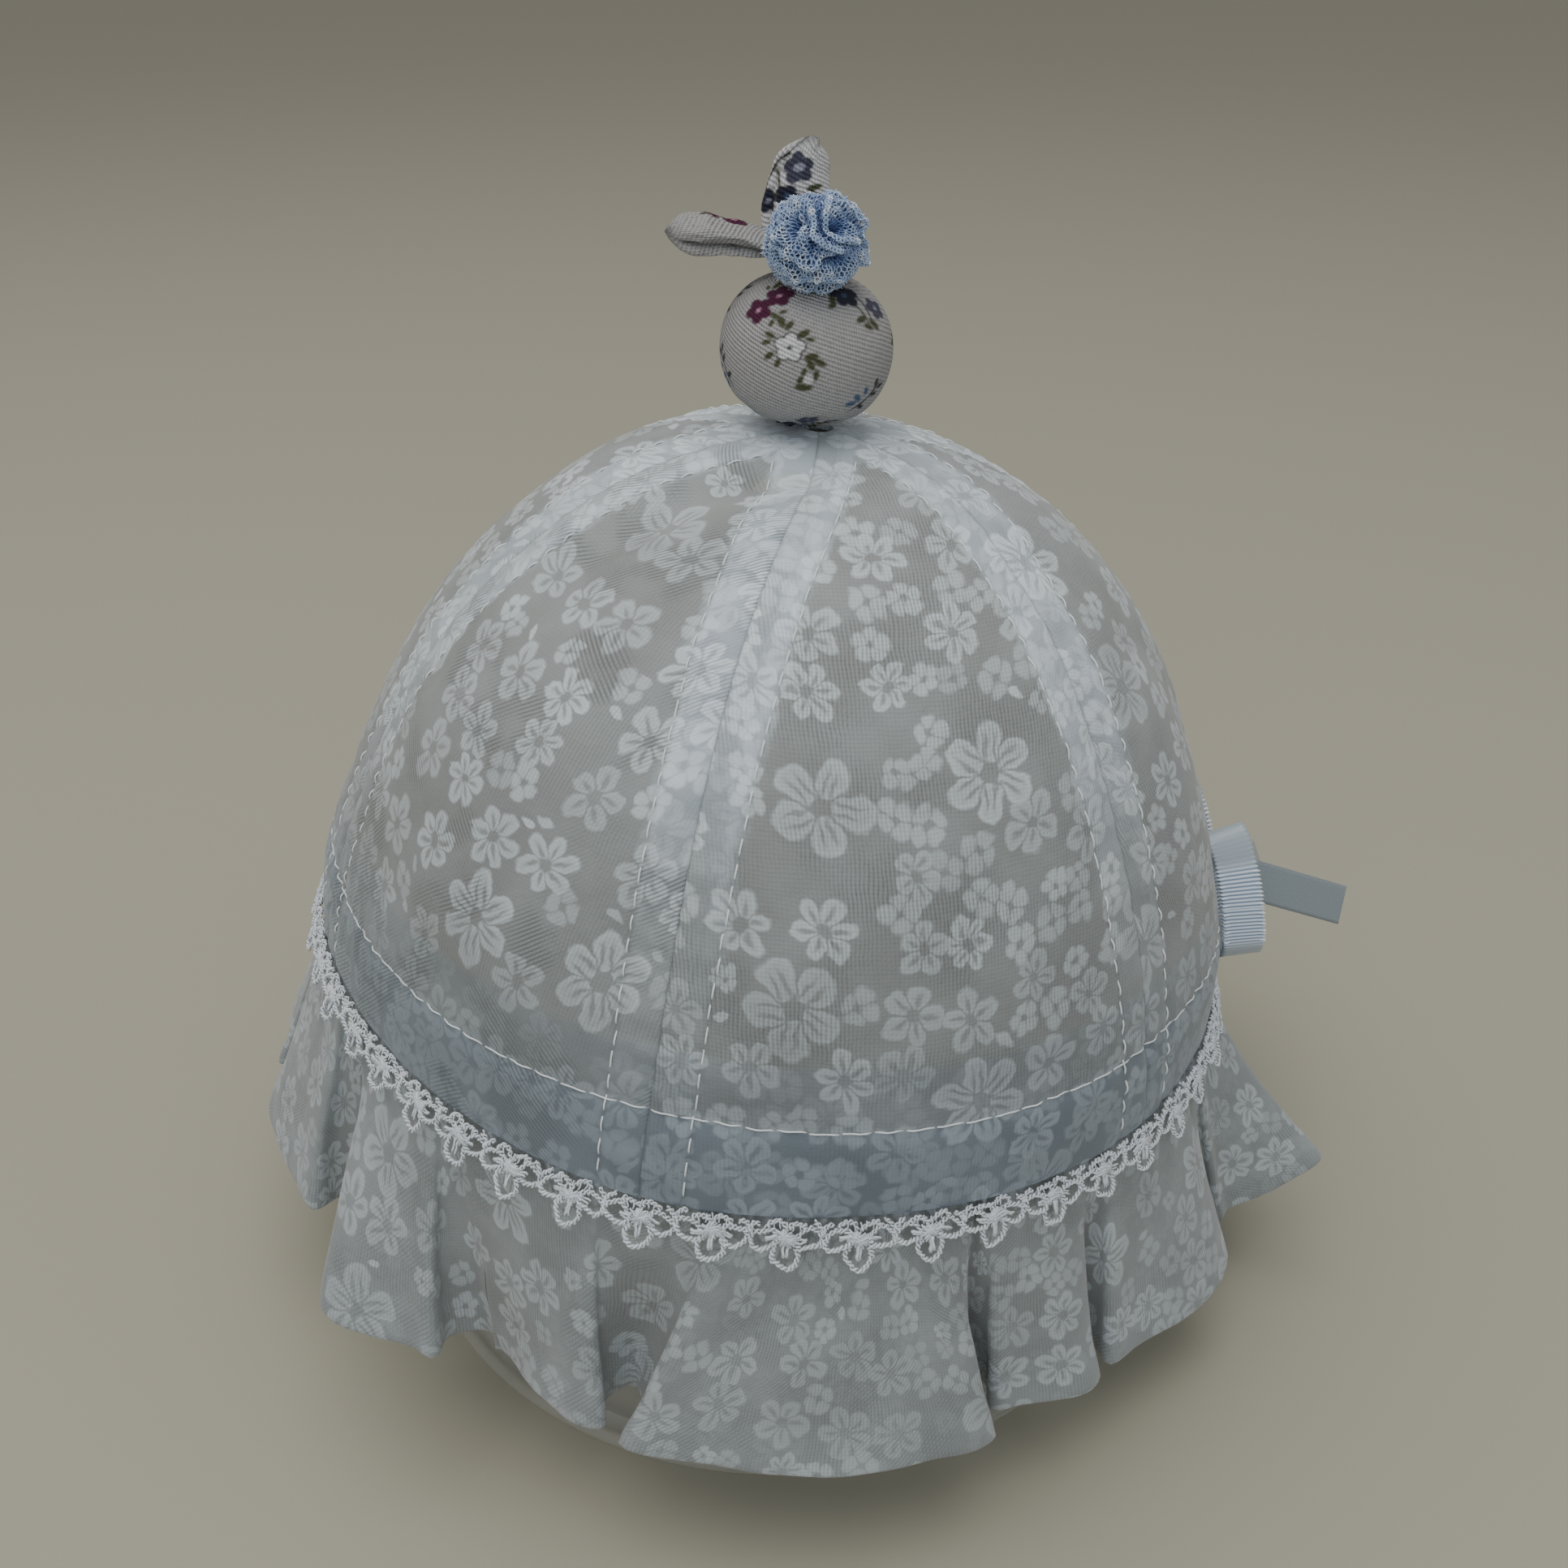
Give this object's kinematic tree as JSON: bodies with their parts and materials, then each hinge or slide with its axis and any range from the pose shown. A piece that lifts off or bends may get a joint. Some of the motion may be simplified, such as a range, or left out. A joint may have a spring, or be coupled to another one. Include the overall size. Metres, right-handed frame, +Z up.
{
  "type": "baby sun cap on clear display stand",
  "caption": "Baby sun cap with a panelled crown, lace edging, gathered ruffle, side bow and top pompom, on a clear domed stand.",
  "frame": {"origin": "on the table, under the middle of the whole object's box", "axes": "+Z up, front of the cap towards -Y, the wearer's left towards +X"},
  "size_m": [0.2006, 0.1706, 0.1847],
  "materials": {
    "clear_plastic": "thin clear vacuum-formed plastic with a rolled rim",
    "voile": "sheer pale grey-blue voile with a tonal white ditsy flower print",
    "facing": "the same voile, seen through the crown",
    "lace": "white cotton lace",
    "linen": "off-white linen with small coloured flower sprigs",
    "tulle": "gathered light blue tulle",
    "ribbon": "pale blue grosgrain ribbon, ribbed across, with a low sheen"
  },
  "bodies": {
    "root": {"display_stand": "clear_plastic", "crown_panel_1": "voile", "crown_panel_2": "voile", "crown_panel_3": "voile", "crown_panel_4": "voile", "crown_panel_5": "voile", "crown_panel_6": "voile", "inside_facing": "facing", "ruffle": "voile", "lace_edging": "lace", "top_ball": "linen", "ear_left": "linen", "ear_upright": "linen", "tulle_pompom": "tulle", "bow_knot": "ribbon", "bow_loop_front": "ribbon", "bow_loop_back": "ribbon", "bow_tail_front": "ribbon", "bow_tail_back": "ribbon"}
  },
  "joints": []
}
